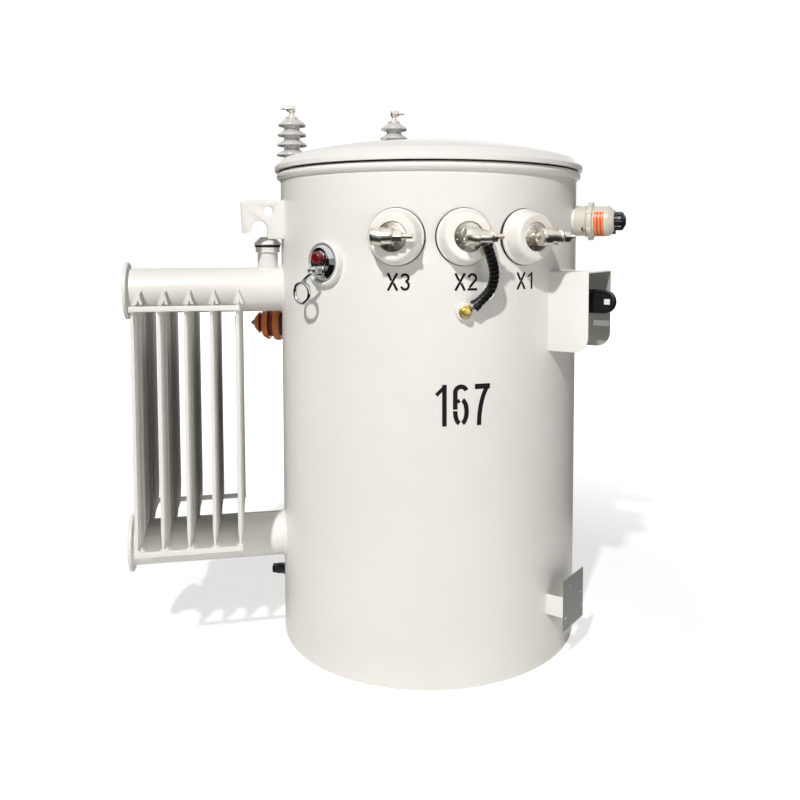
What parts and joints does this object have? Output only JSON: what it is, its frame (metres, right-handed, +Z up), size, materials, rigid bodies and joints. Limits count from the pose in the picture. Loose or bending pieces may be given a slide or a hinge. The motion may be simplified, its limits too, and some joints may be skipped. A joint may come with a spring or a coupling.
{
  "type": "pole mounted transformer",
  "caption": "Round welded oil-filled tank with a domed cover, side panel radiator, three front low-voltage bushings, two high-voltage bushings, tap knob, fuse holder and pole hangers.",
  "frame": {"origin": "middle of the tank's flat underside", "axes": "+Z up along the tank's axis; -Y is the low-voltage front; +Y faces the pole; the radiator is towards -X"},
  "size_m": [1.0712, 0.796, 1.2045],
  "materials": {
    "tank_paint": "smooth light grey gloss paint",
    "porcelain": "glossy pale grey glaze",
    "tinned_metal": "tin plated, semi bright",
    "gasket": "matt black",
    "black_tape": "satin black tape",
    "brass": "yellow plated, semi bright",
    "chrome": "bright chrome plate",
    "red_cap": "glossy dark red",
    "beige_plastic": "satin beige",
    "black_plastic": "satin black",
    "steel": "zinc plated",
    "plate_steel": "bare grey plate, no marks",
    "orange_polymer": "orange-brown ribbed housing"
  },
  "bodies": {
    "transformer": {"arrester_bracket": "steel", "arrester_tip": "steel", "cover": "tank_paint", "cover_gasket": "gasket", "drain_valve": "black_plastic", "filler_cap": "tank_paint", "filler_gasket": "gasket", "filler_neck": "tank_paint", "fuse_cap": "black_plastic", "fuse_holder": "beige_plastic", "fuse_sleeve": "tank_paint", "ground_lug": "brass", "ground_pad": "tank_paint", "ground_strap": "black_tape", "hanger_lower": "tank_paint", "hanger_upper": "tank_paint", "header_end_plates": "tank_paint", "header_lower": "tank_paint", "header_upper": "tank_paint", "hv_bushing_left": "porcelain", "hv_bushing_rear": "porcelain", "hv_pocket": "tank_paint", "hv_terminal_left": "tinned_metal", "hv_terminal_rear": "tinned_metal", "lifting_lug_left": "tank_paint", "lifting_lug_right": "tank_paint", "lv_bushing_x1": "porcelain", "lv_bushing_x2": "porcelain", "lv_bushing_x3": "porcelain", "lv_terminal_x1": "tinned_metal", "lv_terminal_x2": "tinned_metal", "lv_terminal_x3": "tinned_metal", "nameplate": "plate_steel", "nameplate_bracket": "tank_paint", "radiator_panel_1": "tank_paint", "radiator_panel_2": "tank_paint", "radiator_panel_3": "tank_paint", "radiator_panel_4": "tank_paint", "radiator_panel_5": "tank_paint", "radiator_tie_bars": "tank_paint", "relief_boss": "tank_paint", "relief_cap": "red_cap", "relief_valve": "chrome", "surge_arrester": "orange_polymer", "tank_bottom": "tank_paint", "tank_rim": "tank_paint", "tank_shell": "tank_paint", "tap_boss": "tank_paint", "tap_guard": "tank_paint"},
    "tap_handle": {"tap_knob": "black_plastic", "tap_spindle": "steel"},
    "pull_ring": {"relief_ring": "chrome"}
  },
  "joints": [
    {"name": "tap_turn", "type": "hinge", "parent": "transformer", "child": "tap_handle", "pos_m": [0.24056, -0.2259, 0.7484], "axis": [0.729, -0.6845, 0], "range_deg": [-60, 60]},
    {"name": "ring_swing", "type": "hinge", "parent": "transformer", "child": "pull_ring", "pos_m": [-0.27527, -0.2351, 0.814], "axis": [-0.6494, 0.7604, 0], "range_deg": [0, 40]}
  ]
}
